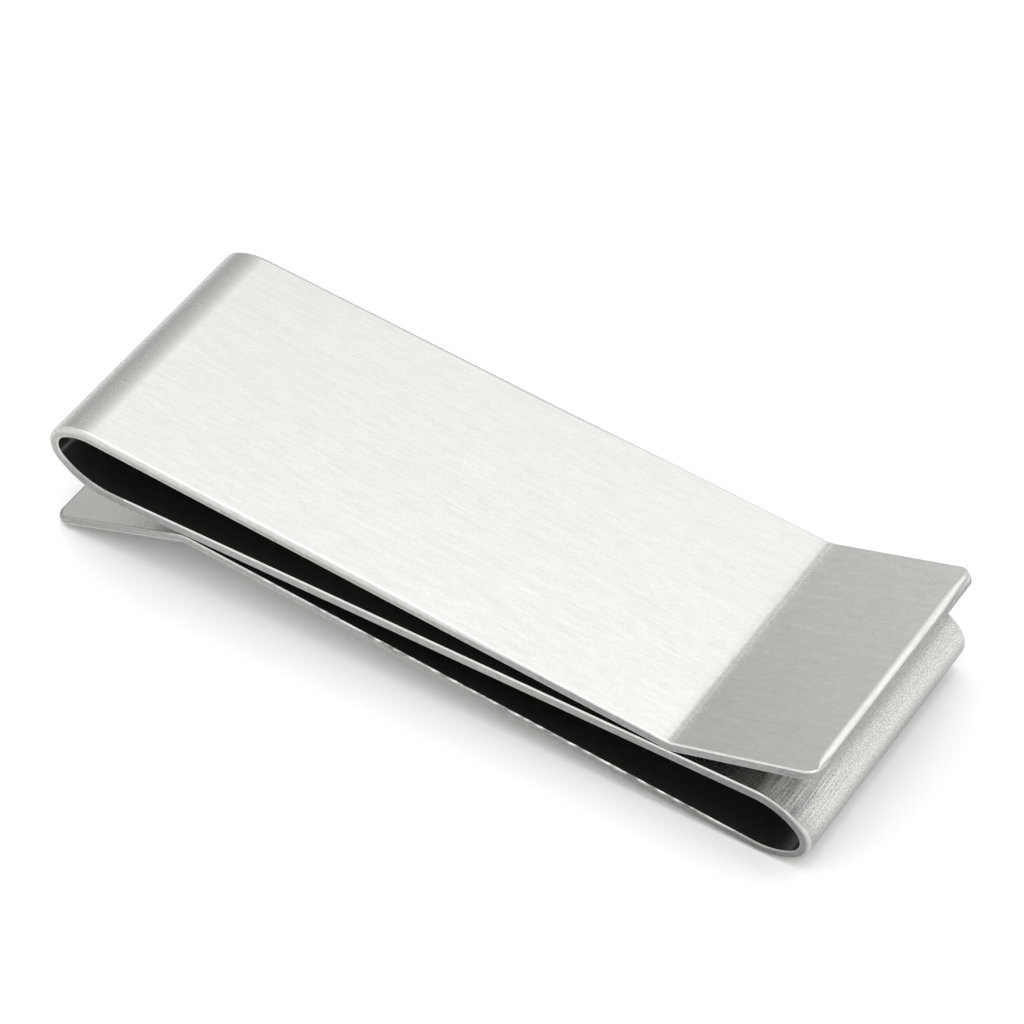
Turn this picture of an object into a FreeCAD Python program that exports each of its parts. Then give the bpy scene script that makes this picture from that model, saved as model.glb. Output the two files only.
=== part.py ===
import FreeCAD, Part
import math
import os

import Sketcher

# Double-sided money clip: one strip of spring steel folded into a long S.
# The centre leaf lies level. A U-bend at its left end carries the upper leaf and its lip, and a U-bend
# at its right end carries the lower leaf and its lip. The strip is divided square across at its bend
# lines and at the nose of each U-bend, which is where an opening leaf hinges.
# Frame: X along the clip, Y across the strip, Z up; origin at the bottom centre of the clip's box.

SIZES = {
    "strip_width": 20.1,
    "strip_thickness": 0.75,
    "edge_radius": 0.12,
    "centre_leaf_length": 47.5,
    # left U-bend and upper leaf; radii are those of the strip's middle surface
    "left_entry_radius": 5.5,
    "left_entry_angle": 46.0,
    "left_nose_radius": 1.45,
    "left_exit_radius": 4.0,
    "left_exit_angle": 34.5,
    "left_closing_angle": 4.87,
    "upper_leaf_length": 42.8,
    "upper_crease_radius": 1.85,
    "upper_flare_angle": 22.3,
    "upper_lip_length": 10.25,
    "upper_front_corner_radius": 0.6,
    "upper_back_corner_radius": 0.9,
    # right U-bend and lower leaf
    "right_entry_radius": 4.6,
    "right_entry_angle": 46.8,
    "right_nose_radius": 1.58,
    "right_exit_radius": 4.55,
    "right_exit_angle": 37.4,
    "right_closing_angle": 5.08,
    "lower_leaf_length": 41.9,
    "lower_crease_radius": 1.9,
    "lower_flare_angle": 25.1,
    "lower_lip_length": 10.75,
    "lower_front_corner_radius": 1.0,
    "lower_back_corner_radius": 1.0,
}

CLOCKWISE = -1
ANTICLOCKWISE = 1


def add_derived_sizes():
    """The nose of each U-bend is cut where the strip runs upright, so its two angles follow from the rest."""
    for side in ("left", "right"):
        SIZES[side + "_nose_root_angle"] = 90.0 - SIZES[side + "_entry_angle"]
        SIZES[side + "_nose_arm_angle"] = (
            90.0 + SIZES[side + "_closing_angle"] - SIZES[side + "_exit_angle"]
        )


def make_sheet(doc):
    sheet = doc.addObject("Spreadsheet::Sheet", "Dimensions")
    for row, (name, value) in enumerate(SIZES.items(), start=1):
        sheet.set("A%d" % row, name)
        sheet.set("B%d" % row, repr(value))
        sheet.setAlias("B%d" % row, name)
    doc.recompute()
    return sheet


def line(length):
    """A flat stretch of strip; length names a cell."""
    return {"kind": "line", "length": length}


def arc(radius, angle, turn):
    """A bent stretch of strip; radius and angle name cells, turn is CLOCKWISE or ANTICLOCKWISE."""
    return {"kind": "arc", "radius": radius, "angle": angle, "turn": turn}


class Station:
    """A place on the strip's middle surface: x and z in mm, heading in radians from +X towards +Z."""

    def __init__(self, x, z, heading):
        self.x = x
        self.z = z
        self.heading = heading

    def offset(self, height):
        """The point this far to the left of the heading."""
        return FreeCAD.Vector(
            self.x - height * math.sin(self.heading), self.z + height * math.cos(self.heading), 0
        )

    def after(self, stretch):
        """The station at the far end of a stretch that starts here."""
        if stretch["kind"] == "line":
            length = SIZES[stretch["length"]]
            return Station(
                self.x + length * math.cos(self.heading),
                self.z + length * math.sin(self.heading),
                self.heading,
            )
        radius = SIZES[stretch["radius"]] * stretch["turn"]
        heading = self.heading + math.radians(SIZES[stretch["angle"]]) * stretch["turn"]
        centre = self.offset(radius)
        return Station(
            centre.x + radius * math.sin(heading), centre.y - radius * math.cos(heading), heading
        )

    def after_all(self, stretches):
        station = self
        for stretch in stretches:
            station = station.after(stretch)
        return station

    def placement(self):
        return FreeCAD.Placement(
            FreeCAD.Vector(self.x, 0, self.z),
            FreeCAD.Rotation(FreeCAD.Vector(0, 1, 0), -math.degrees(self.heading)),
        )


def origin_plane(body, role):
    return next(plane for plane in body.Origin.OriginFeatures if plane.Role == role)


def arc_geometry(start, stretch, height):
    """One face of a bent stretch, as an arc running anticlockwise about its centre."""
    signed_radius = SIZES[stretch["radius"]] * stretch["turn"]
    centre = start.offset(signed_radius)
    first = start.offset(height)
    last = start.after(stretch).offset(height)
    circle = Part.Circle(centre, FreeCAD.Vector(0, 0, 1), first.distanceToPoint(centre))
    ends = [circle.parameter(first), circle.parameter(last)]
    if stretch["turn"] == CLOCKWISE:
        ends.reverse()
    return Part.ArcOfCircle(circle, ends[0], ends[1])


def add_face_chain(sketch, stretches, height_sign):
    """Draws one face of the strip as a tangent chain from the origin, and returns its two end points."""
    half = SIZES["strip_thickness"] / 2
    station = Station(0, 0, 0)
    previous = None
    for stretch in stretches:
        if stretch["kind"] == "line":
            ends = (station.offset(height_sign * half), station.after(stretch).offset(height_sign * half))
            edge = sketch.addGeometry(Part.LineSegment(*ends), False)
            start_point, end_point = 1, 2
            size = sketch.addConstraint(Sketcher.Constraint("Distance", edge, SIZES[stretch["length"]]))
            sketch.setExpression("Constraints[%d]" % size, "Dimensions." + stretch["length"])
        else:
            edge = sketch.addGeometry(arc_geometry(station, stretch, height_sign * half), False)
            start_point, end_point = (1, 2) if stretch["turn"] == ANTICLOCKWISE else (2, 1)
            growth = -height_sign * stretch["turn"]
            radius = SIZES[stretch["radius"]] + growth * half
            size = sketch.addConstraint(Sketcher.Constraint("Radius", edge, radius))
            sketch.setExpression(
                "Constraints[%d]" % size,
                "Dimensions.%s + (%d) * Dimensions.strip_thickness / 2" % (stretch["radius"], growth),
            )
            angle = math.radians(SIZES[stretch["angle"]])
            size = sketch.addConstraint(Sketcher.Constraint("Angle", edge, angle))
            sketch.setExpression("Constraints[%d]" % size, "Dimensions.%s * 1 deg" % stretch["angle"])
        if previous is None:
            first = (edge, start_point)
            if stretch["kind"] == "line":
                sketch.addConstraint(Sketcher.Constraint("Horizontal", edge))
            else:
                sketch.addConstraint(Sketcher.Constraint("PointOnObject", edge, 3, -2))
        else:
            sketch.addConstraint(Sketcher.Constraint("Tangent", *previous, edge, start_point))
        previous = (edge, end_point)
        station = station.after(stretch)
    return first, previous


def add_profile(body, stretches):
    """Side view of a run of strip: its two faces, closed by a square cut at each end."""
    sketch = body.newObject("Sketcher::SketchObject", body.Name + "_profile")
    sketch.AttachmentSupport = [(origin_plane(body, "XZ_Plane"), "")]
    sketch.MapMode = "FlatFace"
    half = SIZES["strip_thickness"] / 2
    starts = []
    ends = []
    for height_sign in (-1, 1):
        first, last = add_face_chain(sketch, stretches, height_sign)
        sketch.addConstraint(Sketcher.Constraint("PointOnObject", *first, -2))
        size = sketch.addConstraint(
            Sketcher.Constraint("DistanceY", -1, 1, first[0], first[1], height_sign * half)
        )
        sketch.setExpression(
            "Constraints[%d]" % size, "(%d) * Dimensions.strip_thickness / 2" % height_sign
        )
        starts.append(first)
        ends.append(last)
    final = Station(0, 0, 0).after_all(stretches)
    for pair, station in ((starts, Station(0, 0, 0)), (ends, final)):
        cut = sketch.addGeometry(Part.LineSegment(station.offset(-half), station.offset(half)), False)
        sketch.addConstraint(Sketcher.Constraint("Coincident", cut, 1, *pair[0]))
        sketch.addConstraint(Sketcher.Constraint("Coincident", cut, 2, *pair[1]))
    return sketch


def add_pad(body, sketch):
    pad = body.newObject("PartDesign::Pad", body.Name + "_pad")
    pad.Profile = sketch
    pad.SideType = "Symmetric"
    pad.setExpression("Length", "Dimensions.strip_width")
    sketch.Visibility = False
    body.Document.recompute()
    return pad


def add_fillet(body, feature, edge_names, radius_cell, name):
    fillet = body.newObject("PartDesign::Fillet", body.Name + name)
    fillet.Base = (feature, edge_names)
    fillet.setExpression("Radius", "Dimensions." + radius_cell)
    body.Document.recompute()
    return fillet


def face_normal(face, point):
    return face.normalAt(*face.Surface.parameter(point))


def is_sharp(shape, edge):
    """True where the two faces that meet at an edge make a corner."""
    faces = shape.ancestorsOfType(edge, Part.Face)
    if len(faces) < 2:
        return False
    middle = edge.valueAt((edge.FirstParameter + edge.LastParameter) / 2)
    dot = face_normal(faces[0], middle).dot(face_normal(faces[1], middle))
    return abs(dot) < math.cos(math.radians(20))


def rim_edges(shape, cuts):
    """Names of the sharp edges that aren't on a cut between two stretches of the strip."""
    cut_faces = []
    for cut in cuts:
        centre = FreeCAD.Vector(cut.x, 0, cut.z)
        cut_faces += [face for face in shape.Faces if face.CenterOfMass.distanceToPoint(centre) < 1e-6]
    names = []
    for index, edge in enumerate(shape.Edges, start=1):
        on_cut = any(edge.isSame(other) for face in cut_faces for other in face.Edges)
        if not on_cut and is_sharp(shape, edge):
            names.append("Edge%d" % index)
    return names


def tip_corner_edge(shape, tip, side):
    """Name of the short edge through the thickness at one corner of a free tip; side is -1 or 1 along Y."""
    for index, edge in enumerate(shape.Edges, start=1):
        middle = edge.CenterOfMass
        if math.hypot(middle.x - tip.x, middle.z - tip.z) < 1e-6 and middle.y * side > 1e-6:
            return "Edge%d" % index
    raise RuntimeError("no corner edge at the tip")


def make_run(doc, label, start, stretches, tip_corners=None):
    """One node: a run of strip from a station, with its rims rounded.

    tip_corners names the cells of a free tip's corner radii, front (-Y) and then back (+Y).
    """
    body = doc.addObject("PartDesign::Body", label)
    body.Label = label
    local_start = Station(0, 0, 0)
    local_end = local_start.after_all(stretches)
    tip = add_pad(body, add_profile(body, stretches))
    cuts = [local_start]
    if tip_corners:
        for side, name, cell in ((-1, "_front_corner", tip_corners[0]), (1, "_back_corner", tip_corners[1])):
            corner = tip_corner_edge(tip.Shape, local_end, side)
            tip = add_fillet(body, tip, [corner], cell, name)
    else:
        cuts.append(local_end)
    tip = add_fillet(body, tip, rim_edges(tip.Shape, cuts), "edge_radius", "_rims")
    body.Tip = tip
    body.Placement = start.placement()
    return start.after_all(stretches)


def make_arm(doc, side, leaf, bend_names, root):
    """A U-bend, its leaf and its lip, from the end of the centre leaf. Returns the nose station."""
    root_half = [
        arc(side + "_entry_radius", side + "_entry_angle", CLOCKWISE),
        arc(side + "_nose_radius", side + "_nose_root_angle", CLOCKWISE),
    ]
    arm_half = [
        arc(side + "_nose_radius", side + "_nose_arm_angle", CLOCKWISE),
        arc(side + "_exit_radius", side + "_exit_angle", CLOCKWISE),
    ]
    lip = [
        arc(leaf + "_crease_radius", leaf + "_flare_angle", ANTICLOCKWISE),
        line(leaf + "_lip_length"),
    ]
    nose = make_run(doc, bend_names[0], root, root_half)
    bend_end = make_run(doc, bend_names[1], nose, arm_half)
    leaf_end = make_run(doc, leaf + "_leaf", bend_end, [line(leaf + "_leaf_length")])
    corners = (leaf + "_front_corner_radius", leaf + "_back_corner_radius")
    make_run(doc, leaf + "_lip", leaf_end, lip, corners)
    return nose


def stand_on_origin(doc):
    """Moves every node together, so that the clip's box is centred on Z and stands on z = 0."""
    doc.recompute()
    box = FreeCAD.BoundBox()
    for body in nodes(doc):
        box.add(body.Shape.optimalBoundingBox(False))
    shift = FreeCAD.Vector(-box.Center.x, -box.Center.y, -box.ZMin)
    for body in nodes(doc):
        body.Placement.Base = body.Placement.Base + shift
    doc.recompute()
    return shift


def nodes(doc):
    return [item for item in doc.Objects if item.isDerivedFrom("PartDesign::Body")]


def check(doc):
    for item in doc.Objects:
        if "Invalid" in item.State or "Error" in item.State:
            raise RuntimeError("%s failed: %s" % (item.Label, item.State))
    for body in nodes(doc):
        if body.Shape.isNull() or not body.Shape.isValid() or len(body.Shape.Solids) != 1:
            raise RuntimeError("%s has no valid solid" % body.Label)


def report_hinge(name, nose, shift):
    """Prints the hinge line of an arm: the outer surface of the strip at the nose of its U-bend."""
    outer = nose.offset(SIZES["strip_thickness"] / 2)
    print("%s hinge x %.4f z %.4f mm" % (name, outer.x + shift.x, outer.y + shift.z))


def main():
    add_derived_sizes()
    doc = FreeCAD.newDocument("money_clip")
    make_sheet(doc)
    left_end = Station(0, 0, 0)
    right_end = make_run(doc, "centre_leaf", left_end, [line("centre_leaf_length")])
    upper_nose = make_arm(
        doc, "left", "upper", ("left_bend_lower", "left_bend_upper"), Station(0, 0, math.pi)
    )
    lower_nose = make_arm(
        doc, "right", "lower", ("right_bend_upper", "right_bend_lower"), right_end
    )
    shift = stand_on_origin(doc)
    check(doc)
    report_hinge("upper arm", upper_nose, shift)
    report_hinge("lower arm", lower_nose, shift)
    os.makedirs("parts", exist_ok=True)
    for body in nodes(doc):
        body.Shape.exportStep("parts/%s.step" % body.Label)


main()
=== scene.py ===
import math

import bmesh
import bpy
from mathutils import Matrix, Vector


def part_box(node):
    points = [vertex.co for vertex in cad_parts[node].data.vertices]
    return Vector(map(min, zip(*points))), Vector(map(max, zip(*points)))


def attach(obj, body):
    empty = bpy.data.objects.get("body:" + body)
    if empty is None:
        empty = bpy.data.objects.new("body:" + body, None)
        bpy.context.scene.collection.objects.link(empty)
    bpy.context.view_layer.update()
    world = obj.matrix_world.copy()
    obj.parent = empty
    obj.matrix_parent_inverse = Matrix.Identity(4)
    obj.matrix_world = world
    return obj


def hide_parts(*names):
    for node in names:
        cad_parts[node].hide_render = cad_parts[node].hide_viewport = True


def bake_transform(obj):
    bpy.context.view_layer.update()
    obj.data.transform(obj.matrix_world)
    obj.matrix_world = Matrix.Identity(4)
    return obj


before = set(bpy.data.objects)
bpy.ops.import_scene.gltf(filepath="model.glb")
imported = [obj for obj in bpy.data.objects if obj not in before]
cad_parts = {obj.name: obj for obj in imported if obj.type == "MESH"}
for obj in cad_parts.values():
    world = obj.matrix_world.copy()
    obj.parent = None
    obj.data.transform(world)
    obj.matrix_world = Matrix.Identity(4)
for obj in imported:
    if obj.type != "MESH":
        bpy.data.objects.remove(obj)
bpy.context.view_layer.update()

# Double-sided money clip: one strip of satin-brushed spring steel folded into a long S.
# The strip is drawn flat, as its long plan outline with rounded rims, and bent along its side profile.
# Its outer face is the one outside the U-bend: the underside of the centre leaf on the way to the left
# bend, the outside of that bend, and the top of the upper leaf and lip.

MM = 0.001

# ---------------------------------------------------------------------------------- strip and profile

CENTRE_LOW, CENTRE_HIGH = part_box("centre_leaf")
STRIP_WIDTH = CENTRE_HIGH.y - CENTRE_LOW.y
STRIP_THICKNESS = CENTRE_HIGH.z - CENTRE_LOW.z
CENTRE_LENGTH = CENTRE_HIGH.x - CENTRE_LOW.x
CENTRE_HEIGHT = (CENTRE_LOW.z + CENTRE_HIGH.z) / 2
HALF_WIDTH = STRIP_WIDTH / 2
HALF_THICKNESS = STRIP_THICKNESS / 2

CLOCKWISE = -1
ANTICLOCKWISE = 1


def line(length):
    return {"length": length, "bend": 0.0}


def arc(radius, degrees, turn):
    angle = math.radians(degrees)
    return {"length": radius * angle, "bend": turn * angle}


# Each arm starts with the centre leaf, then its U-bend in three arcs, its leaf, and its lip.
UPPER_BEND = [
    arc(5.5 * MM, 46.0, CLOCKWISE),
    arc(1.45 * MM, 104.37, CLOCKWISE),
    arc(4.0 * MM, 34.5, CLOCKWISE),
]
UPPER_LEAF = [line(42.8 * MM), arc(1.85 * MM, 22.3, ANTICLOCKWISE), line(10.25 * MM)]
LOWER_BEND = [
    arc(4.6 * MM, 46.8, CLOCKWISE),
    arc(1.58 * MM, 100.88, CLOCKWISE),
    arc(4.55 * MM, 37.4, CLOCKWISE),
]
LOWER_LEAF = [line(41.9 * MM), arc(1.9 * MM, 25.1, ANTICLOCKWISE), line(10.75 * MM)]

FLAT_STEP = 1.0 * MM
BEND_STEP = math.radians(2.5)
BEND_MARGIN = 1.0 * MM
SAME_PLACE = 1e-6 * MM


class Path:
    """The strip's middle surface in side view, as stretches run from a starting place and heading."""

    def __init__(self, x, z, heading, stretches):
        self.stations = [(0.0, x, z, heading)]
        self.stretches = stretches
        for stretch in stretches:
            s, x, z, heading = self.stations[-1]
            length = stretch["length"]
            self.stations.append((s + length, *self.step(x, z, heading, stretch, length)))

    @staticmethod
    def step(x, z, heading, stretch, distance):
        """x, z and heading after a distance along a stretch."""
        turned = stretch["bend"] * distance / stretch["length"]
        if not stretch["bend"]:
            return x + distance * math.cos(heading), z + distance * math.sin(heading), heading
        radius = stretch["length"] / stretch["bend"]
        x += radius * (math.sin(heading + turned) - math.sin(heading))
        z -= radius * (math.cos(heading + turned) - math.cos(heading))
        return x, z, heading + turned

    def end(self, count):
        """Distance along the strip to the end of the first few stretches."""
        return self.stations[count][0]

    def at(self, s):
        """x, z and heading at a distance along the strip."""
        index = max(i for i in range(len(self.stretches)) if i == 0 or self.stations[i][0] <= s + SAME_PLACE)
        start, x, z, heading = self.stations[index]
        return self.step(x, z, heading, self.stretches[index], s - start)

    def rows(self, low, high):
        """Distances to draw the strip at, from low to high: even on flats and closer on bends."""
        found = [low]
        for (start, *_), stretch in zip(self.stations, self.stretches):
            end = start + stretch["length"]
            a, b = max(low, start), min(high, end)
            if b - a < SAME_PLACE:
                continue
            by_length = (b - a) / FLAT_STEP
            by_angle = abs(stretch["bend"]) * (b - a) / stretch["length"] / BEND_STEP
            count = max(1, math.ceil(by_length), math.ceil(by_angle))
            found += [a + (b - a) * i / count for i in range(1, count + 1)]
        return found


# ------------------------------------------------------------------------------------------ strip mesh

RIM_STEPS = 6
CUT_STEPS = 2
CORNER_STEPS = 12
RIMS_CHANGED = 0.7
COLUMNS = 24
UV_SPAN = 120 * MM
UV_NAME = "strip"
OUTER_CHART = 0.1
INNER_CHART = 0.3
RIM_CHART = 0.5

OUTER_FACE, INNER_FACE, ARRIS, CUT = range(4)


class Rim:
    """How one face of the strip rolls over into the cut edge: the arc's radius and how far it turns."""

    def __init__(self, radius, sweep=90.0):
        self.radius, self.sweep = radius, sweep

    @property
    def inset(self):
        return self.radius * math.sin(math.radians(self.sweep))

    def points(self):
        """(inset, drop, slope) from the face to the cut; slope is the normal's angle below the face's own."""
        made = []
        for step in range(RIM_STEPS + 1):
            slope = math.radians(self.sweep) * step / RIM_STEPS
            drop = self.radius * (1 - math.cos(slope))
            made.append((self.inset - self.radius * math.sin(slope), drop, slope))
        return made

    def spread(self, other, share):
        """A rim part of the way from this one to another."""
        return Rim(
            self.radius + (other.radius - self.radius) * share,
            self.sweep + (other.sweep - self.sweep) * share,
        )

    def mixed(self, other, share):
        """The same, but easing in and out."""
        return self.spread(other, share * share * (3 - 2 * share))


def rim_profile(outer, inner):
    """Upper arris, cut and lower arris, as (inset, height, slope), the slope being the normal's."""
    top = [(inset, HALF_THICKNESS - drop, math.pi / 2 - slope) for inset, drop, slope in outer.points()]
    bottom = [(inset, -HALF_THICKNESS + drop, slope - math.pi / 2) for inset, drop, slope in inner.points()]
    high, low = top[-1][1], bottom[-1][1]
    cut = [(0.0, high + (low - high) * step / CUT_STEPS, 0.0) for step in range(CUT_STEPS + 1)]
    return top, cut, bottom[::-1]


class Outline:
    """A point of the strip's flat outline: its place, its outward direction and its two rims."""

    def __init__(self, s, y, out_s, out_y, rims):
        self.s, self.y, self.out_s, self.out_y = s, y, out_s, out_y
        self.rims = rims

    def inset(self, distance):
        return self.s - self.out_s * distance, self.y - self.out_y * distance


def between(value, start, end):
    """0 before start, 1 after end."""
    return min(1.0, max(0.0, (value - start) / (end - start)))


def tip_rims(tip, share):
    """The tip's two rims at a share of the way across it, from those that tip["rims"] lists."""
    for (low, low_rims), (high, high_rims) in zip(tip["rims"], tip["rims"][1:]):
        if share <= high:
            break
    return [rim.spread(other, between(share, low, high)) for rim, other in zip(low_rims, high_rims)]


def plan_rows(path, low, high, side_rims, tip):
    """Each row of the strip as its front and back outline points.

    side_rims gives the sides' rims at a distance; they change to a tip's own round its corners.
    """
    side_end = high - max(tip["corners"]) if tip else high
    rows = []
    for s in path.rows(low, side_end):
        rims = side_rims(s)
        rows.append((Outline(s, -HALF_WIDTH, 0, -1, rims), Outline(s, HALF_WIDTH, 0, 1, rims)))
    if not tip:
        return rows
    for step in range(1, CORNER_STEPS + 1):
        share = step / CORNER_STEPS
        angle = math.pi / 2 * share
        pair = []
        ends = tip["rims"][0], tip["rims"][-1]
        for side, radius, (_, corner_rims) in zip((-1, 1), tip["corners"], ends):
            lead = (max(tip["corners"]) - radius) * share
            s = side_end + lead + radius * math.sin(angle)
            y = side * (HALF_WIDTH - radius + radius * math.cos(angle))
            change = between(share, 0.0, RIMS_CHANGED)
            rims = [rim.mixed(other, change) for rim, other in zip(side_rims(side_end), corner_rims)]
            pair.append(Outline(s, y, math.sin(angle), side * math.cos(angle), rims))
        rows.append(tuple(pair))
    return rows


class StripMesh:
    """Builds a stretch of the bent strip, keeping each corner's exact normal and place on the strip."""

    def __init__(self, path):
        self.path = path
        self.mesh = bmesh.new()
        self.normals = {}
        self.plan = {}
        self.rim_place = {}
        self.corner_normals = {}

    def direction(self, s, parts):
        """World direction of (along the strip, across it, out of its outer face)."""
        heading = self.path.at(s)[2]
        along = Vector((math.cos(heading), 0, math.sin(heading)))
        out = Vector((-math.sin(heading), 0, math.cos(heading)))
        return (along * parts[0] + Vector((0, parts[1], 0)) + out * parts[2]).normalized()

    def vertex(self, s, y, height, normal):
        x, z, heading = self.path.at(s)
        made = self.mesh.verts.new((x - math.sin(heading) * height, y, z + math.cos(heading) * height))
        self.normals[made] = self.direction(s, normal)
        self.plan[made] = (s, y)
        return made

    def face(self, corners, zone, normals=None):
        """A face, with its corners' normals where they aren't the vertices' own."""
        made = self.mesh.faces.new(corners)
        made.material_index = zone
        self.corner_normals[made] = normals or [self.normals[corner] for corner in corners]
        return made

    def face_grid(self, rows, side, tip):
        """Vertices of the outer (side 1) or inner (side -1) face. Its last rows bow in to a tip's rims."""
        rim = 0 if side > 0 else 1
        ends = [[point.inset(point.rims[rim].inset) for point in row] for row in rows]

        def straight(row_ends, share):
            """A place this share of the way straight across a row."""
            (front_s, front_y), (back_s, back_y) = row_ends
            return front_s + (back_s - front_s) * share, front_y + (back_y - front_y) * share

        grid = []
        for row_ends in ends:
            row = []
            for column in range(COLUMNS + 1):
                share = column / COLUMNS
                s, y = straight(row_ends, share)
                if tip:
                    bow_start = straight(ends[-1 - CORNER_STEPS], share)[0]
                    bow_end = straight(ends[-1], share)[0]
                    rim_start = rows[-1][0].s - tip_rims(tip, share)[rim].inset
                    s += (rim_start - bow_end) * between(s, bow_start, bow_end)
                row.append(self.vertex(s, y, side * HALF_THICKNESS, (0, 0, side)))
            grid.append(row)
        return grid

    def rim_ring(self, point, outer, inner):
        """Vertices round the cut edge at an outline point, and the normal of the cut there."""
        top, cut, bottom = rim_profile(*point.rims)
        made = []
        for inset, height, slope in top[1:] + cut[1:-1] + bottom[:-1]:
            s, y = point.inset(inset)
            normal = (point.out_s * math.cos(slope), point.out_y * math.cos(slope), math.sin(slope))
            made.append(self.vertex(s, y, height, normal))
        flat = self.direction(point.s, (point.out_s, point.out_y, 0))
        return [outer, *made, inner], flat

    def rim_faces(self, rings):
        """Joins neighbouring rings: the two rolled arrises, and the flat cut between them."""
        for ring, _ in rings:
            depth = 0.0
            for vertex, previous in zip(ring, ring[:1] + ring):
                s, y = self.plan[vertex]
                depth += (vertex.co - previous.co).length
                self.rim_place[vertex] = (s + HALF_WIDTH - abs(y), depth)
        for (ring, flat), (next_ring, next_flat) in zip(rings, rings[1:]):
            for j in range(len(ring) - 1):
                corners = [ring[j], ring[j + 1], next_ring[j + 1], next_ring[j]]
                is_cut = RIM_STEPS <= j < RIM_STEPS + CUT_STEPS
                if is_cut:
                    self.face(corners, CUT, [flat, flat, next_flat, next_flat])
                else:
                    self.face(corners, ARRIS)

    def cap(self, row_ends, is_start):
        """Closes a square cut across the strip, inside it, where the next piece carries on."""
        outer_row, inner_row, (front, _), (back, _) = row_ends
        loops = [front[::-1], back]
        for j in range(COLUMNS):
            loops.append([outer_row[j], outer_row[j + 1], inner_row[j + 1], inner_row[j]])
        s = self.plan[outer_row[0]][0]
        outward = self.direction(s, (-1 if is_start else 1, 0, 0))
        for loop in loops:
            self.face(loop if is_start else loop[::-1], CUT, [outward] * len(loop))


def strip_piece(name, path, low, high, side_rims, tip=None):
    """A mesh object of the strip from one distance along it to another. tip describes a free end."""
    strip = StripMesh(path)
    rows = plan_rows(path, low, high, side_rims, tip)
    outer = strip.face_grid(rows, 1, tip)
    inner = strip.face_grid(rows, -1, tip)
    fronts = [strip.rim_ring(row[0], outer[i][0], inner[i][0]) for i, row in enumerate(rows)]
    backs = [strip.rim_ring(row[1], outer[i][-1], inner[i][-1]) for i, row in enumerate(rows)]
    for grid, zone in ((outer, OUTER_FACE), (inner, INNER_FACE)):
        for row, next_row in zip(grid, grid[1:]):
            for j in range(COLUMNS):
                corners = [row[j], next_row[j], next_row[j + 1], row[j + 1]]
                strip.face(corners if zone == OUTER_FACE else corners[::-1], zone)
    strip.cap((outer[0], inner[0], fronts[0], backs[0]), True)
    if tip:
        tip_rings = []
        for column in range(1, COLUMNS):
            y = strip.plan[outer[-1][column]][1]
            point = Outline(high, y, 1, 0, tip_rims(tip, column / COLUMNS))
            tip_rings.append(strip.rim_ring(point, outer[-1][column], inner[-1][column]))
        strip.rim_faces(fronts + tip_rings + backs[::-1])
    else:
        strip.cap((outer[-1], inner[-1], fronts[-1], backs[-1]), False)
        strip.rim_faces(fronts)
        strip.rim_faces(backs[::-1])
    return finish_mesh(name, strip)


def finish_mesh(name, strip):
    """Turns a strip into an object. Its UV map is the strip drawn flat: a chart per face, one for rims."""
    uv_layer = strip.mesh.loops.layers.uv.new(UV_NAME)
    normals = []
    for face in strip.mesh.faces:
        face.smooth = True
        is_rim = face.material_index in (ARRIS, CUT) and all(v in strip.rim_place for v in face.verts)
        if is_rim:
            chart = RIM_CHART
        else:
            chart = INNER_CHART if face.material_index == INNER_FACE else OUTER_CHART
        for loop, normal in zip(face.loops, strip.corner_normals[face]):
            along, across = strip.rim_place[loop.vert] if is_rim else strip.plan[loop.vert]
            loop[uv_layer].uv = (along / UV_SPAN, across / UV_SPAN + chart)
            normals.append(tuple(normal))
    data = bpy.data.meshes.new(name)
    strip.mesh.to_mesh(data)
    strip.mesh.free()
    data.normals_split_custom_set(normals)
    piece = bpy.data.objects.new(name, data)
    bpy.context.scene.collection.objects.link(piece)
    return piece


# ------------------------------------------------------------------------------------------- materials

STEEL_TINT = (0.598, 0.600, 0.577)
GRAZING_TINT = (0.75, 0.75, 0.75, 1.0)
NOISE_MIDDLE = 0.5
NOISE_ROUGHNESS = 0.6
PATCH_LENGTH, PATCH_WIDTH, PATCH_CONTRAST = 9 * MM, 4 * MM, 0.03
GRAIN_SEED, STREAK_SEED, PATCH_SEED = 1.7, 4.1, 5.3
ROUGHNESS_SPREAD = 0.05
GRAIN_SPREAD = 0.25
DARKEST_STREAK = -1.6
LEAF_ROUGHNESS = 0.27
LEAF_ANISOTROPY = 0.5
LEAF_BUMP = 0.5e-6
# Painted shade: the share of the steel's brightness left in the loops' insides.
LOOP_SHADE_SHARE = 0.45


def node(tree, kind, inputs=None, **settings):
    """Adds a node. inputs maps its sockets to values or to other nodes' outputs."""
    made = tree.nodes.new(kind)
    for key, value in settings.items():
        setattr(made, key, value)
    for key, value in (inputs or {}).items():
        if isinstance(value, bpy.types.NodeSocket):
            tree.links.new(value, made.inputs[key])
        else:
            made.inputs[key].default_value = value
    return made


def stretched_noise(tree, along, across, seed, detail=2.0):
    """Noise whose grains are this long along the strip and this wide across it."""
    uv = node(tree, "ShaderNodeUVMap", uv_map=UV_NAME).outputs["UV"]
    scale = (UV_SPAN / along, UV_SPAN / across, 1.0)
    mapped = node(tree, "ShaderNodeMapping", {"Vector": uv, "Scale": scale, "Location": (seed, seed, seed)})
    noise = node(
        tree,
        "ShaderNodeTexNoise",
        {"Vector": mapped.outputs["Vector"], "Scale": 1.0, "Detail": detail, "Roughness": NOISE_ROUGHNESS},
    )
    return noise.outputs["Fac"]


def weighted_sum(tree, terms):
    """Sum of each (noise, weight) pair, measured from the noises' middle value."""
    total = None
    for socket, weight in terms:
        term = arithmetic(tree, "MULTIPLY", arithmetic(tree, "ADD", socket, -NOISE_MIDDLE), weight)
        total = term if total is None else arithmetic(tree, "ADD", total, term)
    return total


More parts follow.
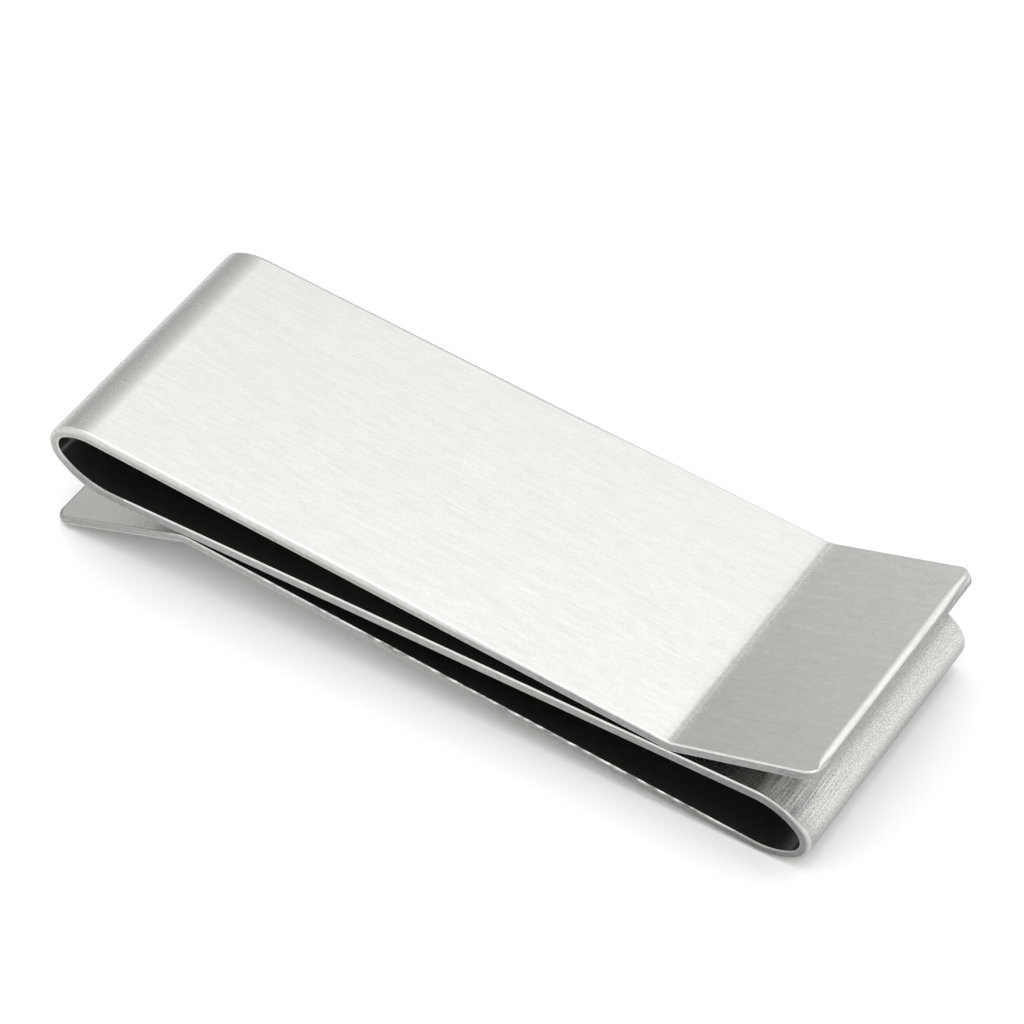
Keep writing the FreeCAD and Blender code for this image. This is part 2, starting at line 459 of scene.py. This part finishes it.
def ramp(tree, value, low, high, low_level, high_level, smooth=False):
    """Maps a value between two limits onto two levels, and holds it at them outside."""
    inputs = {"Value": value, "From Min": low, "From Max": high, "To Min": low_level, "To Max": high_level}
    kind = "SMOOTHSTEP" if smooth else "LINEAR"
    return node(tree, "ShaderNodeMapRange", inputs, interpolation_type=kind).outputs["Result"]


def arithmetic(tree, operation, a, b):
    return node(tree, "ShaderNodeMath", {0: a, 1: b}, operation=operation).outputs["Value"]


def graded(tree, value, stops):
    """A level that runs straight between its (value, level) stops, and holds beyond the first and last."""
    level = stops[0][1]
    for (low, low_level), (high, high_level) in zip(stops, stops[1:]):
        level = arithmetic(tree, "ADD", level, ramp(tree, value, low, high, 0.0, high_level - low_level))
    return level


def place_on_strip(tree, chart):
    """How far along the strip a point is, and how far across it, or round its edge."""
    uv = node(tree, "ShaderNodeUVMap", uv_map=UV_NAME).outputs["UV"]
    split = node(tree, "ShaderNodeSeparateXYZ", {"Vector": uv}).outputs
    along = arithmetic(tree, "MULTIPLY", split["X"], UV_SPAN)
    across = arithmetic(tree, "MULTIPLY", arithmetic(tree, "SUBTRACT", split["Y"], chart), UV_SPAN)
    return along, across


def steel(
    name,
    roughness,
    grains,
    chart,
    tint=STEEL_TINT,
    anisotropy=0.0,
    bump_depth=1e-6,
    contrast=0.10,
    streaks=None,
    fade=None,
    matt=None,
    tones=(),
):
    """Satin steel. grains lists (length along, width across, weight) of the marks in its finish.

    streaks, if given, is (grain, stops along the strip, stops across it): extra marks where both are 1.
    fade, if given, is stops along the strip: how strong all its marks are.
    matt, if given, is stops along the strip: how much rougher it is.
    tones lists (stops along the strip, stops across it): changes in its brightness, added to 1: painted light
    and shade, and on a cut edge also its darker finish.
    """
    material = bpy.data.materials.new(name)
    material.use_nodes = True
    tree = material.node_tree
    shader = tree.nodes["Principled BSDF"]
    shader.inputs["Metallic"].default_value = 1.0
    shader.inputs["Specular Tint"].default_value = GRAZING_TINT
    if anisotropy:
        shader.inputs["Anisotropic"].default_value = anisotropy
        shader.inputs["Anisotropic Rotation"].default_value = 0.25
        tangent = node(tree, "ShaderNodeTangent", direction_type="UV_MAP", uv_map=UV_NAME)
        tree.links.new(tangent.outputs["Tangent"], shader.inputs["Tangent"])

    place_along, place_across = place_on_strip(tree, chart)

    def zone(along_stops, across_stops):
        along, across = graded(tree, place_along, along_stops), graded(tree, place_across, across_stops)
        return arithmetic(tree, "MULTIPLY", along, across)

    marks = [
        (stretched_noise(tree, along, across, GRAIN_SEED * i), weight)
        for i, (along, across, weight) in enumerate(grains)
    ]
    grain = weighted_sum(tree, marks)
    if streaks:
        (along, across, weight), *reach = streaks
        lines = weighted_sum(tree, [(stretched_noise(tree, along, across, STREAK_SEED, detail=1.0), weight)])
        lines = arithmetic(tree, "MAXIMUM", lines, DARKEST_STREAK)
        grain = arithmetic(tree, "ADD", grain, arithmetic(tree, "MULTIPLY", lines, zone(*reach)))
    if fade:
        grain = arithmetic(tree, "MULTIPLY", grain, graded(tree, place_along, fade))
    patch_noise = stretched_noise(tree, PATCH_LENGTH, PATCH_WIDTH, PATCH_SEED)
    patches = weighted_sum(tree, [(patch_noise, PATCH_CONTRAST)])
    level = arithmetic(tree, "ADD", arithmetic(tree, "MULTIPLY", grain, 2 * contrast), patches)
    level = arithmetic(tree, "ADD", level, 1.0)
    # Painted light and shade: the tones scale the brightness.
    tone = 1.0
    for tone_stops in tones:
        tone = arithmetic(tree, "ADD", tone, zone(*tone_stops))
    level = arithmetic(tree, "MULTIPLY", level, tone)
    colour = node(tree, "ShaderNodeVectorMath", {0: tint, "Scale": level}, operation="SCALE")
    tree.links.new(colour.outputs["Vector"], shader.inputs["Base Color"])
    rough_levels = roughness + ROUGHNESS_SPREAD, roughness - ROUGHNESS_SPREAD
    rough = ramp(tree, grain, -GRAIN_SPREAD, GRAIN_SPREAD, *rough_levels)
    if matt:
        rough = arithmetic(tree, "ADD", rough, graded(tree, place_along, matt))
    tree.links.new(rough, shader.inputs["Roughness"])
    bump = node(tree, "ShaderNodeBump", {"Height": grain, "Distance": bump_depth, "Strength": 1.0})
    tree.links.new(bump.outputs["Normal"], shader.inputs["Normal"])
    return material


def darkened(*stops):
    """Stops from (millimetres along the strip, share of brightness kept) pairs."""
    return [(s * MM, share - 1) for s, share in stops]


# Reaches across the strip. The last two go by the depth round its edge: the outer arris, and the inner one.
EVERYWHERE = [(0.0, 1.0)]
ROUND_OUTER = [(0.0, 0.0), (0.10 * MM, 0.2), (0.34 * MM, 1.0), (0.60 * MM, 1.0), (0.66 * MM, 0.0)]
ROUND_INNER = [(0.60 * MM, 0.0), (0.66 * MM, 1.0)]
# A burr's marks on the inner arris; their heavy weight also paints a broken glint on it.
BURR_GLINT_GRAIN = (0.8 * MM, 0.5 * MM, 12.0)


def make_edge_steels(side, outer, inner, cut, burr_glint=None):
    """An arm's arrises and cut edge. Their tones are painted shade, with the cut partly darker for its
    rougher finish: outer, inner and cut give the share of brightness each keeps along the strip.

    burr_glint, if given, is stops along the strip: where a broken burr is left on the inner arris, with a
    painted glint along it.
    """
    arris_grains = ((1.2 * MM, 0.3 * MM, 1.0), (0.3 * MM, 0.2 * MM, 0.8))
    cut_grains = ((0.9 * MM, 0.25 * MM, 1.0), (0.25 * MM, 0.25 * MM, 1.0))
    arris = steel(
        "steel_arris_" + side,
        0.26,
        arris_grains,
        RIM_CHART,
        contrast=0.15,
        streaks=(BURR_GLINT_GRAIN, burr_glint, ROUND_INNER) if burr_glint else None,
        tones=((darkened(*outer), ROUND_OUTER), (darkened(*inner), ROUND_INNER)),
    )
    cut = steel(
        "steel_cut_" + side,
        0.36,
        cut_grains,
        RIM_CHART,
        bump_depth=2.0e-6,
        contrast=0.25,
        tones=((darkened(*cut), EVERYWHERE),),
    )
    return arris, cut


def bend_zones(bend_start, pinch):
    """The marks of the right bend's outside and of the centre leaf's top that leads to it, and the painted
    shade, highlights and reflections on them.
    """
    # Marks across the strip, at the front of the bend's mouth.
    cross_lines = (
        (0.10 * MM, 2.6 * MM, 1.9),
        [(bend_start + 2.6 * MM, 1.0), (bend_start + 4.4 * MM, 0.0)],
        [(3.0 * MM - HALF_WIDTH, 1.0), (6.5 * MM - HALF_WIDTH, 0.0)],
    )
    tones = (
        # Painted shade in the upper loop, fading out where the leaf comes out into the light.
        ([(pinch, LOOP_SHADE_SHARE - 1), (pinch + 4 * MM, 0.0)], EVERYWHERE),
        # Painted shade: darker past the nose's start, towards the back.
        (
            [(bend_start + 4.4 * MM, 0.0), (bend_start + 5.5 * MM, -0.16)],
            [(-4.0 * MM, 0.0), (1.0 * MM, 1.0), (7.0 * MM, 1.1), (9.5 * MM, 1.6)],
        ),
        # Painted shade: a faint dark line there in the front half.
        (
            [(bend_start + 4.4 * MM, 0.0), (bend_start + 5.0 * MM, -0.08), (bend_start + 5.4 * MM, 0.0)],
            [(-4.0 * MM, 1.0), (1.0 * MM, 0.0)],
        ),
        # Painted highlight: brighter at the mouth, and most of all beside the front edge.
        (
            [
                (bend_start - 2.0 * MM, 0.0),
                (bend_start - 0.5 * MM, 0.55),
                (bend_start + 0.6 * MM, 0.55),
                (bend_start + 1.7 * MM, 0.35),
                (bend_start + 2.1 * MM, 0.0),
            ],
            [(-9.3 * MM, 1.0), (-7.0 * MM, 0.5), (-5.0 * MM, 0.2)],
        ),
        # Painted shade: darker just after that, beside the front edge.
        (
            [
                (bend_start + 2.1 * MM, 0.0),
                (bend_start + 2.5 * MM, -0.35),
                (bend_start + 3.2 * MM, -0.22),
                (bend_start + 4.8 * MM, -0.22),
                (bend_start + 5.2 * MM, 0.0),
            ],
            [(-9.6 * MM, 1.0), (-8.5 * MM, 0.3), (-7.0 * MM, 0.0)],
        ),
        # Painted reflection of the lip's dark underside: a dark band across the back half.
        (
            [(bend_start + 2.0 * MM, 0.0), (bend_start + 2.6 * MM, -0.15), (bend_start + 3.5 * MM, 0.0)],
            [(-6.0 * MM, 0.0), (0.0, 1.0)],
        ),
    )
    return cross_lines, tones


def leaf_zones(left):
    """The marks of the left bend's nose and of the upper leaf and lip at the crease, and the painted shade
    and light on the leaf and lip.
    """
    leaf_start, crease_start, lip_end = left.end(4), left.end(5), left.end(7)
    # Coarser grain round the nose, up to the leaf.
    nose_marks = (
        (0.15 * MM, 0.13 * MM, 4.5),
        [(leaf_start - 1.2 * MM, 1.0), (leaf_start - 0.2 * MM, 0.0)],
        EVERYWHERE,
    )
    # Painted shade: a faint dark line where the leaf meets the crease.
    leaf_tones = (
        (
            [(crease_start - 0.5 * MM, 0.0), (crease_start, -0.08), (crease_start + 0.5 * MM, 0.0)],
            EVERYWHERE,
        ),
    )
    # Coarser grain just past the crease.
    crease_marks = (
        (0.17 * MM, 0.15 * MM, 5.0),
        [(crease_start + 0.2 * MM, 0.0), (crease_start + 0.4 * MM, 1.0), (crease_start + 1.4 * MM, 0.0)],
        EVERYWHERE,
    )
    lip_tones = (
        # Painted light: brighter towards the tip.
        (
            [(crease_start, 0.0), (crease_start + 0.8 * MM, -0.02), (lip_end, 0.07)],
            EVERYWHERE,
        ),
        # Painted shade in the crease, and a painted highlight on the shelf beside it.
        (
            [
                (crease_start, -0.08),
                (crease_start + 0.2 * MM, -0.13),
                (crease_start + 0.35 * MM, -0.13),
                (crease_start + 0.6 * MM, 0.18),
                (crease_start + 0.9 * MM, 0.06),
                (crease_start + 1.3 * MM, 0.0),
            ],
            EVERYWHERE,
        ),
        # Painted light: darker at the front edge than at the back.
        (
            [(crease_start, 0.0), (crease_start + 0.8 * MM, 1.0)],
            [(-HALF_WIDTH, -0.06), (HALF_WIDTH, 0.07)],
        ),
    )
    return nose_marks, leaf_tones, crease_marks, lip_tones


def make_steels(left, right, pinch):
    """The strip's finishes, with painted light and shade on them. left and right are the paths of the strip
    into each arm.

    pinch is how far along the right path the upper leaf pinches it: up to there, in the loop, it has painted
    shade.
    """
    brushed_grains = (
        (7.0 * MM, 0.34 * MM, 0.4),
        (2.4 * MM, 0.26 * MM, 0.7),
        (0.8 * MM, 0.22 * MM, 0.6),
        (0.22 * MM, 0.20 * MM, 0.7),
    )
    lip_grains = ((3.0 * MM, 0.6 * MM, 0.8), (0.7 * MM, 0.34 * MM, 1.2), (0.3 * MM, 0.28 * MM, 0.7))
    blasted_grains = ((0.09 * MM, 0.08 * MM, 2.0), (0.24 * MM, 0.16 * MM, 0.4))
    inside_grains = ((7.0 * MM, 0.34 * MM, 0.12), (2.4 * MM, 0.26 * MM, 0.20))
    # Painted shade: the darkened tint of the loops' insides.
    loop_shade_tint = tuple(LOOP_SHADE_SHARE * part for part in STEEL_TINT)
    cross_lines, bend_tones = bend_zones(right.end(1), pinch)
    nose_marks, leaf_tones, crease_marks, lip_tones = leaf_zones(left)
    lower_lip_start = right.end(6)
    # Painted reflection: the lower lip is brighter past its first few millimetres.
    lower_lip_tones = (
        ([(lower_lip_start + 2 * MM, 0.0), (lower_lip_start + 6 * MM, 0.10)], EVERYWHERE),
    )
    return {
        "brushed": steel(
            "steel_brushed",
            LEAF_ROUGHNESS,
            brushed_grains,
            OUTER_CHART,
            anisotropy=LEAF_ANISOTROPY,
            bump_depth=LEAF_BUMP,
            tones=leaf_tones,
        ),
        "lip": steel(
            "steel_lip",
            LEAF_ROUGHNESS,
            lip_grains,
            OUTER_CHART,
            anisotropy=LEAF_ANISOTROPY,
            bump_depth=LEAF_BUMP,
            contrast=0.12,
            streaks=crease_marks,
            tones=lip_tones,
        ),
        "lower_lip": steel(
            "steel_lower_lip",
            LEAF_ROUGHNESS,
            lip_grains,
            INNER_CHART,
            bump_depth=LEAF_BUMP,
            tones=lower_lip_tones,
        ),
        "nose": steel(
            "steel_nose",
            LEAF_ROUGHNESS,
            brushed_grains,
            OUTER_CHART,
            anisotropy=LEAF_ANISOTROPY,
            bump_depth=0.7e-6,
            streaks=nose_marks,
        ),
        "bend": steel(
            "steel_bend",
            0.24,
            blasted_grains,
            OUTER_CHART,
            bump_depth=2e-6,
            contrast=0.55,
            streaks=cross_lines,
            fade=[(pinch, 0.0), (pinch + 3 * MM, 1.0)],
            matt=[(pinch, 0.06), (pinch + 4 * MM, 0.0)],
            tones=bend_tones,
        ),
        # The loops' insides: their tint is darkened as painted shade.
        "inside": steel(
            "steel_inside", 0.30, inside_grains, INNER_CHART, tint=loop_shade_tint, bump_depth=0.2e-6, contrast=0.15
        ),
        # Painted shade along the left arm's edges, as (millimetres along the strip, share of brightness
        # kept).
        "left_edges": make_edge_steels(
            "left",
            outer=(
                (47.5, 0.75), (52, 0.90), (54.6, 0.86), (57, 0.83),
                (82, 0.83), (92, 1.0), (101, 0.95), (110, 1.0),
            ),
            inner=(
                (51, 0.60), (52.5, 0.93), (54.4, 0.90), (55.5, 0.60),
                (57.5, 1.0), (98, 1.0), (101, 0.9), (109, 0.8),
            ),
            cut=(
                (50, 0.48), (52.5, 0.69), (57, 0.66), (84, 0.64),
                (92, 0.53), (107, 0.53), (109, 0.44), (112, 0.6),
            ),
        ),
        # Painted shade along the right arm's edges, as (millimetres along the strip, share of brightness
        # kept).
        "right_edges": make_edge_steels(
            "right",
            outer=(
                (1, 0.60), (8, 0.90), (30, 0.90), (41, 0.78), (47, 0.60), (48.5, 0.36),
                (51, 0.40), (52.6, 0.65), (54, 0.9), (58, 0.65), (80, 0.93), (99, 1.0),
            ),
            inner=(
                (1, 0.75), (8, 0.80), (35, 0.80), (48, 0.55), (57, 0.50), (60, 0.62),
                (80, 0.62), (92, 0.80), (99, 0.8), (101, 0.54), (108.5, 0.54), (109.8, 0.48),
            ),
            cut=(
                (1, 0.48), (8, 0.64), (30, 0.64), (40, 0.48), (47, 0.40), (50, 0.36),
                (52.6, 0.45), (55, 0.37), (63, 0.47), (79, 0.60), (93, 0.66), (105, 0.63),
            ),
            # A burr on the inner arris, with a painted glint.
            burr_glint=[(57 * MM, 0.0), (59 * MM, 1.0), (84 * MM, 1.0), (94 * MM, 0.3), (97 * MM, 0.0)],
        ),
    }


def paint(piece, *materials):
    """Puts on the outer face's, inner face's, arrises' and cut's steels, in that order."""
    for material in materials:
        piece.data.materials.append(material)


# -------------------------------------------------------------------------------------------- the clip

# Sharp arrises stay where the edge was only sheared; the others are rolled over or tumbled.
SHARP = Rim(0.12 * MM)
SOFT = Rim(0.34 * MM)
BENT = Rim(0.26 * MM)
ROLLED_TIP = Rim(0.95 * MM, 46.0)
ROLLED_FRONT = Rim(0.80 * MM, 50.0)
ROLLED_CORNER = Rim(0.50 * MM, 78.0)
SOFT_TIP = Rim(0.34 * MM)


def left_rims(path):
    bend_start, leaf_start = path.end(1), path.end(4)

    def rims(s):
        if s < leaf_start:
            outer = SHARP.mixed(SOFT, between(s, bend_start + 2 * MM, leaf_start - 1 * MM))
        else:
            outer = SOFT.mixed(SHARP, between(s, leaf_start + 22 * MM, leaf_start + 34 * MM))
        return outer, SHARP

    return rims


def right_rims(path):
    bend_start, nose_start, leaf_start = path.end(1), path.end(2), path.end(4)

    def rims(s):
        if s < leaf_start:
            return SHARP.mixed(BENT, between(s, bend_start + 2 * MM, nose_start + 1 * MM)), SHARP
        return BENT, SHARP

    return rims


def make_clip():
    left = Path(CENTRE_HIGH.x, CENTRE_HEIGHT, math.pi, [line(CENTRE_LENGTH), *UPPER_BEND, *UPPER_LEAF])
    right = Path(CENTRE_LOW.x, CENTRE_HEIGHT, 0.0, [line(CENTRE_LENGTH), *LOWER_BEND, *LOWER_LEAF])
    # The centre leaf's top is inside the upper loop up to the pinch line, and outside it from there.
    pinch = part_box("upper_leaf")[1].x - CENTRE_LOW.x
    steels = make_steels(left, right, pinch)
    inside, brushed = steels["inside"], steels["brushed"]

    for name, low, high, top in (
        ("centre_leaf_strip", BEND_MARGIN, pinch, inside),
        ("centre_leaf_mouth", pinch, right.end(1) - BEND_MARGIN, steels["bend"]),
    ):
        piece = strip_piece(name, right, low, high, right_rims(right))
        paint(piece, top, inside, *steels["right_edges"])
        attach(piece, "centre")
        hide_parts("centre_leaf")

    arms = (
        {
            "leaf": "upper",
            "bend": "left_bend",
            "path": left,
            "rims": left_rims(left),
            "tip": {
                "corners": (0.45 * MM, 0.9 * MM),
                "rims": (
                    (0.0, (SHARP, SHARP)),
                    (0.07, (ROLLED_FRONT, SHARP)),
                    (0.85, (ROLLED_TIP, SHARP)),
                    (1.0, (ROLLED_CORNER, SHARP)),
                ),
            },
            "bend_steels": (steels["nose"], inside, *steels["left_edges"]),
            "leaf_steels": (brushed, inside, *steels["left_edges"]),
            "lip_steels": (steels["lip"], inside, *steels["left_edges"]),
            "rises": 1,
        },
        {
            "leaf": "lower",
            "bend": "right_bend",
            "path": right,
            "rims": right_rims(right),
            "tip": {
                "corners": (1.0 * MM, 1.0 * MM),
                "rims": ((0.0, (SOFT_TIP, SOFT_TIP)), (1.0, (SOFT_TIP, SOFT_TIP))),
            },
            "bend_steels": (steels["bend"], inside, *steels["right_edges"]),
            "leaf_steels": (brushed, inside, *steels["right_edges"]),
            "lip_steels": (brushed, steels["lower_lip"], *steels["right_edges"]),
            "rises": -1,
        },
    )
    for arm in arms:
        make_arm(arm)


def make_arm(arm):
    """The U-bend at one end of the centre leaf, and the leaf and lip that it carries."""
    leaf, bend, path = arm["leaf"], arm["bend"], arm["path"]
    body = leaf + "_arm"
    bend_low, bend_high = path.end(1) - BEND_MARGIN, path.end(4) + BEND_MARGIN
    bend_piece = strip_piece(bend + "_strip", path, bend_low, bend_high, arm["rims"])
    paint(bend_piece, *arm["bend_steels"])
    end = path.at(bend_high)[1] - arm["rises"] * HALF_THICKNESS
    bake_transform(bend_piece)
    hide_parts(bend + "_lower", bend + "_upper")

    pinch = path.end(5)
    last = path.end(len(path.stretches))
    leaf_piece = strip_piece(leaf + "_leaf_strip", path, bend_high, pinch, arm["rims"])
    paint(leaf_piece, *arm["leaf_steels"])
    lip_piece = strip_piece(leaf + "_lip_strip", path, pinch, last, arm["rims"], arm["tip"])
    paint(lip_piece, *arm["lip_steels"])
    for piece, node_name in ((leaf_piece, "_leaf"), (lip_piece, "_lip")):
        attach(piece, body)
        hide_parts(leaf + node_name)


# ------------------------------------------------------------------------------------------- the stage

VIEW_AZIMUTH = math.radians(32.09)
VIEW_ELEVATION = math.radians(45.24)
VIEW_DISTANCE = 286.3 * MM
VIEW_AIM = Vector((-0.18 * MM, 1.40 * MM, 6.37 * MM))
LENS_LENGTH, SENSOR_WIDTH = 158.0, 36.0
CLIP_START = 10 * MM

FLOOR_HALF_SIZE = 1.5
FLOOR_COLOUR = (0.855, 0.855, 0.855, 1)
FLOOR_ROUGHNESS, FLOOR_SPECULAR = 0.9, 0.1

# The studio's parts, as (starts, ends, level before, level after). Starts and ends are cosines of the angle
# between the direction looked in and the one each part is measured from: up, right, left or forwards.
WALL = (-0.05, 0.22, 0.66, 0.49)
WALL_TOP = (0.26, 0.40, 0.0, 0.12)
RIGHT_SIDE = (-0.5, 0.5, 0.0, 0.60)
GAP_ACROSS = (0.40, 0.75, 0.0, 1.0)
GAP_UP = (0.38, 0.56, 0.0, 1.0)
LEFT_CARD = (0.45, 0.70, 0.0, 0.60)
FRONT = (-0.5, 0.1, 0.25, 0.0)
OVERHEAD = (0.63, 0.85, 0.0, 1.0)
OVERHEAD_STRENGTH = (0.0, 0.6, 1.62, 1.80)
ZENITH = (0.95, 0.99, 0.0, 2.0)


def make_floor():
    mesh = bmesh.new()
    size = FLOOR_HALF_SIZE
    corners = [mesh.verts.new((x * size, y * size, 0)) for x, y in ((-1, -1), (1, -1), (1, 1), (-1, 1))]
    mesh.faces.new(corners)
    data = bpy.data.meshes.new("floor")
    mesh.to_mesh(data)
    mesh.free()
    floor = bpy.data.objects.new("floor", data)
    bpy.context.scene.collection.objects.link(floor)
    material = bpy.data.materials.new("white_floor")
    material.use_nodes = True
    shader = material.node_tree.nodes["Principled BSDF"]
    shader.inputs["Base Color"].default_value = FLOOR_COLOUR
    shader.inputs["Roughness"].default_value = FLOOR_ROUGHNESS
    shader.inputs["Specular IOR Level"].default_value = FLOOR_SPECULAR
    data.materials.append(material)


def make_light():
    """The studio: a soft light overhead, a wall that brightens to the right, and a card at the left."""
    world = bpy.data.worlds.new("studio")
    bpy.context.scene.world = world
    world.use_nodes = True
    tree = world.node_tree
    direction = node(tree, "ShaderNodeTexCoord").outputs["Generated"]

    def along(axis):
        inputs = {0: direction, 1: axis}
        return node(tree, "ShaderNodeVectorMath", inputs, operation="DOT_PRODUCT").outputs["Value"]

    height = along((0, 0, 1))
    rightwards = along((math.cos(VIEW_AZIMUTH), math.sin(VIEW_AZIMUTH), 0))
    leftwards = along((-math.cos(VIEW_AZIMUTH), -math.sin(VIEW_AZIMUTH), 0))
    forwards = along((-math.sin(VIEW_AZIMUTH), math.cos(VIEW_AZIMUTH), 0))

    wall = ramp(tree, height, *WALL, smooth=True)
    wall = arithmetic(tree, "ADD", wall, ramp(tree, height, *WALL_TOP, smooth=True))
    side = ramp(tree, rightwards, *RIGHT_SIDE)
    gap = arithmetic(
        tree,
        "MULTIPLY",
        ramp(tree, rightwards, *GAP_ACROSS, smooth=True),
        ramp(tree, height, *GAP_UP, smooth=True),
    )
    side = arithmetic(tree, "MULTIPLY", side, arithmetic(tree, "SUBTRACT", 1.0, gap))
    card = ramp(tree, leftwards, *LEFT_CARD, smooth=True)
    front = ramp(tree, forwards, *FRONT, smooth=True)
    low = arithmetic(tree, "ADD", wall, side)
    low = arithmetic(tree, "ADD", low, arithmetic(tree, "ADD", card, front))
    overhead = ramp(tree, height, *OVERHEAD, smooth=True)
    low = arithmetic(tree, "MULTIPLY", low, arithmetic(tree, "SUBTRACT", 1.0, overhead))
    strength = ramp(tree, forwards, *OVERHEAD_STRENGTH, smooth=True)
    level = arithmetic(tree, "ADD", low, arithmetic(tree, "MULTIPLY", overhead, strength))
    zenith = ramp(tree, height, *ZENITH, smooth=True)
    level = arithmetic(tree, "ADD", level, zenith)
    tree.links.new(level, tree.nodes["Background"].inputs["Strength"])
    tree.nodes["Background"].inputs["Color"].default_value = (1, 1, 1, 1)


def make_camera():
    back = Vector(
        (
            math.sin(VIEW_AZIMUTH) * math.cos(VIEW_ELEVATION),
            -math.cos(VIEW_AZIMUTH) * math.cos(VIEW_ELEVATION),
            math.sin(VIEW_ELEVATION),
        )
    )
    data = bpy.data.cameras.new("camera")
    data.lens = LENS_LENGTH
    data.sensor_width = SENSOR_WIDTH
    data.clip_start = CLIP_START
    camera = bpy.data.objects.new("camera", data)
    bpy.context.scene.collection.objects.link(camera)
    camera.location = VIEW_AIM + back * VIEW_DISTANCE
    camera.rotation_mode = "QUATERNION"
    camera.rotation_quaternion = (-back).to_track_quat("-Z", "Y")
    bpy.context.scene.camera = camera


make_clip()
make_floor()
make_light()
make_camera()
bpy.context.scene.view_settings.view_transform = "Standard"
